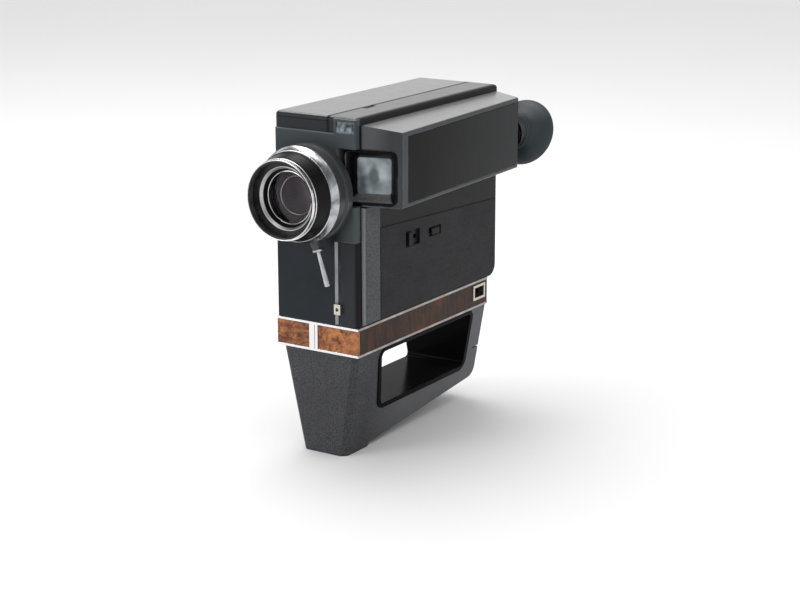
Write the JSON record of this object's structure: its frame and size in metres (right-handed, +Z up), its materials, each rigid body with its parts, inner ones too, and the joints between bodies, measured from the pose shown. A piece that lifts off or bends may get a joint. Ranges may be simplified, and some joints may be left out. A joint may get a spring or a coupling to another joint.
{
  "type": "movie camera",
  "caption": "Hand-held cartridge movie camera with a zoom lens, a side viewfinder housing with eyecup, a wood-trimmed band and a loop handle with trigger.",
  "frame": {"origin": "centre of the tripod socket's mouth, in the flat foot of the handle", "axes": "lens looks along -Y, +Z up, viewfinder housing on the +X side"},
  "size_m": [0.0982, 0.2557, 0.2349],
  "materials": {
    "matte_black": "matte",
    "textured_panel": "leather grain",
    "front_grey": "satin",
    "gloss_black": "gloss",
    "chrome": "polished",
    "wood": "satin",
    "glass": "coated",
    "clear_plastic": "clear",
    "rubber": "matte",
    "steel": "brushed",
    "brass": "turned",
    "gear_white": "moulded",
    "board_green": "satin"
  },
  "bodies": {
    "camera": {"band_frame": "matte_black", "band_trims": "chrome", "battery_cells": "steel", "body_shell": "matte_black", "capstan_motor": "matte_black", "circuit_board": "board_green", "door_hinge_pin": "steel", "drive_motor": "steel", "eyecup": "rubber", "eyepiece_tube": "matte_black", "film_chamber": "matte_black", "finder_lenses": "glass", "front_plate": "front_grey", "front_wood_panels": "wood", "gate_plate": "steel", "grip_rib": "textured_panel", "handle_shell": "matte_black", "inner_lens_groups": "glass", "iris_blades": "matte_black", "lens_barrel": "matte_black", "lens_flange": "matte_black", "loop_liner": "gloss_black", "mechanism_plate": "steel", "meter_window": "clear_plastic", "microphone_socket": "matte_black", "motor_bracket": "steel", "photocell": "clear_plastic", "side_panel": "textured_panel", "side_wood_panels": "wood", "socket_bezels": "chrome", "sound_head": "matte_black", "trigger_pin": "steel", "trigger_spring": "steel", "tripod_bush": "brass", "viewfinder_hood": "matte_black", "viewfinder_housing": "matte_black", "viewfinder_side_plate": "gloss_black", "viewfinder_window": "glass"},
    "door": {"film_door": "matte_black"},
    "latch": {"door_latch": "matte_black"},
    "zoom": {"zoom_ring": "matte_black", "zoom_lever": "chrome"},
    "focus": {"focus_ring": "matte_black", "distance_ring": "chrome", "lens_front_rim": "chrome", "lens_hood_cone": "matte_black", "front_lens": "glass"},
    "dioptre": {"dioptre_ring": "matte_black"},
    "filter": {"filter_switch": "matte_black"},
    "check_button": {"battery_check_button": "matte_black"},
    "cover": {"battery_cover": "matte_black"},
    "catch": {"battery_catch": "matte_black"},
    "trigger_body": {"trigger": "matte_black"},
    "shutter": {"shutter_disc": "steel", "shutter_gear": "gear_white"},
    "pinion": {"motor_pinion": "brass"},
    "capstan": {"capstan_flywheel": "steel"},
    "idler": {"idler_gear": "gear_white"},
    "spindle": {"take_up_spindle": "gear_white"},
    "roller": {"pinch_roller": "rubber"}
  },
  "joints": [
    {"name": "film_door_hinge", "type": "hinge", "parent": "camera", "child": "door", "pos_m": [-0.0305, 0.1585, 0.165], "axis": [0, 0, -1], "range_deg": [0, 95]},
    {"name": "door_latch_slide", "type": "slide", "parent": "camera", "child": "latch", "axis": [0, 1, 0], "range_m": [0, 0.004]},
    {"name": "zoom_ring_turn", "type": "hinge", "parent": "camera", "child": "zoom", "pos_m": [-0.0013, -0.031, 0.184], "axis": [0, -1, 0], "range_deg": [-50, 35]},
    {"name": "focus_ring_turn", "type": "hinge", "parent": "camera", "child": "focus", "pos_m": [-0.0013, -0.045, 0.184], "axis": [0, -1, 0], "range_deg": [0, 160]},
    {"name": "dioptre_ring_turn", "type": "hinge", "parent": "camera", "child": "dioptre", "pos_m": [0.04, 0.165, 0.1995], "axis": [0, 1, 0], "range_deg": [-50, 50]},
    {"name": "filter_switch_slide", "type": "slide", "parent": "camera", "child": "filter", "axis": [0, 1, 0], "range_m": [0, 0.008]},
    {"name": "battery_check_press", "type": "slide", "parent": "camera", "child": "check_button", "axis": [-1, 0, 0], "range_m": [0, 0.001], "stiffness_N_per_m": 300},
    {"name": "battery_cover_hinge", "type": "hinge", "parent": "camera", "child": "cover", "pos_m": [0, 0.13676, 0.01798], "axis": [1, 0, 0], "range_deg": [0, 80]},
    {"name": "battery_catch_slide", "type": "slide", "parent": "camera", "child": "catch", "axis": [0, -0.9945, -0.105], "range_m": [0, 0.003]},
    {"name": "trigger_pull", "type": "hinge", "parent": "camera", "child": "trigger_body", "pos_m": [0, 0.0046, 0.0636], "axis": [-1, 0, 0], "range_deg": [0, 8], "stiffness_Nm_per_rad": 0.6, "springref_deg": -1.15},
    {"name": "shutter_spin", "type": "hinge", "parent": "camera", "child": "shutter", "pos_m": [0.002, 0.03, 0.163], "axis": [0, 1, 0], "continuous": true},
    {"name": "motor_spin", "type": "hinge", "parent": "camera", "child": "pinion", "pos_m": [0.022, 0.03, 0.163], "axis": [0, 1, 0], "continuous": true},
    {"name": "capstan_spin", "type": "hinge", "parent": "camera", "child": "capstan", "pos_m": [0.018, 0.048, 0.13], "axis": [1, 0, 0], "continuous": true},
    {"name": "idler_spin", "type": "hinge", "parent": "camera", "child": "idler", "pos_m": [0.016, 0.06023, 0.14181], "axis": [1, 0, 0], "continuous": true},
    {"name": "spindle_spin", "type": "hinge", "parent": "camera", "child": "spindle", "pos_m": [0.01, 0.07821, 0.15918], "axis": [1, 0, 0], "continuous": true},
    {"name": "pinch_roller_spin", "type": "hinge", "parent": "camera", "child": "roller", "pos_m": [0, 0.0551, 0.13], "axis": [1, 0, 0], "continuous": true}
  ],
  "couplings": [
    {"joint": "motor_spin", "follows": "shutter_spin", "ratio": -3},
    {"joint": "idler_spin", "follows": "capstan_spin", "ratio": -0.88889},
    {"joint": "spindle_spin", "follows": "capstan_spin", "ratio": 0.5},
    {"joint": "pinch_roller_spin", "follows": "capstan_spin", "ratio": -0.32}
  ]
}
